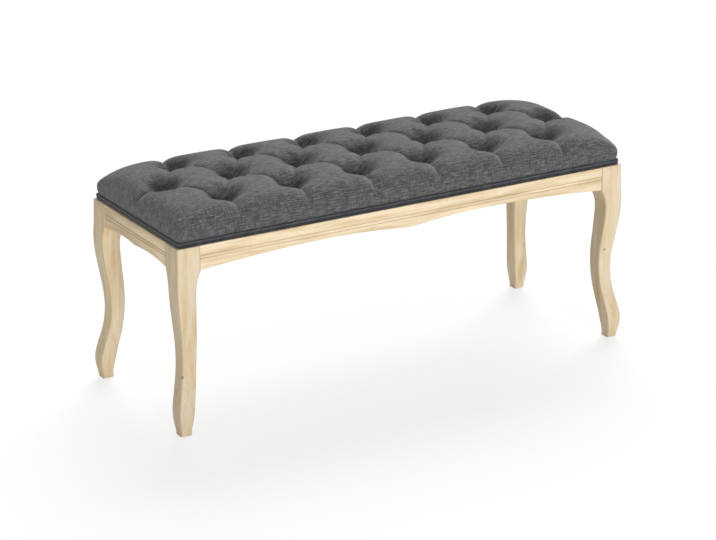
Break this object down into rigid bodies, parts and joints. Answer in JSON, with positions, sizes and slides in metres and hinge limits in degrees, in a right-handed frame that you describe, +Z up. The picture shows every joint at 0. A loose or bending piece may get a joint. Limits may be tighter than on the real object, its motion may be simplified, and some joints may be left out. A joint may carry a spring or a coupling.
{
  "type": "upholstered bench",
  "caption": "Backless indoor bench with a deep-tufted fabric seat on a pale wooden frame with curved legs and shaped aprons.",
  "frame": {"origin": "on the floor, under the middle of the bench", "axes": "+X along the bench to the right of someone facing its front, -Y is the front, +Z up"},
  "size_m": [1.1142, 0.4022, 0.4874],
  "materials": {
    "bleached_wood": "pale bleached wood, matt",
    "plain_wood": "plain unfinished wood",
    "plywood": "unfinished plywood",
    "grey_linen": "dark grey heathered linen weave",
    "dark_linen": "dark grey linen weave, piped and banded",
    "foam": "open-cell foam",
    "fibre": "white polyester fibre",
    "twine": "waxed twine",
    "dust_cloth": "black non-woven cloth",
    "zinc_steel": "zinc plated",
    "glide_plastic": "grey nylon"
  },
  "bodies": {
    "root": {"front_left_leg": "bleached_wood", "front_right_leg": "bleached_wood", "back_left_leg": "bleached_wood", "back_right_leg": "bleached_wood", "front_apron": "bleached_wood", "back_apron": "bleached_wood", "left_apron": "bleached_wood", "right_apron": "bleached_wood", "front_left_corner_block": "plain_wood", "front_right_corner_block": "plain_wood", "back_left_corner_block": "plain_wood", "back_right_corner_block": "plain_wood", "centre_rail": "plain_wood", "apron_dowels": "plain_wood", "rail_dowels": "plain_wood", "leg_bolts": "zinc_steel", "leg_washers": "zinc_steel", "leg_nuts": "zinc_steel", "block_screws": "zinc_steel", "seat_screws": "zinc_steel", "twine_staples": "zinc_steel", "band_staples": "zinc_steel", "dust_cover_staples": "zinc_steel", "foot_glides": "glide_plastic", "seat_board": "plywood", "foam_pad": "foam", "fibre_wadding": "fibre", "seat_cover": "grey_linen", "tuft_buttons": "grey_linen", "lower_band": "dark_linen", "welt_cord": "dark_linen", "tuft_twines": "twine", "dust_cover": "dust_cloth"}
  },
  "joints": []
}
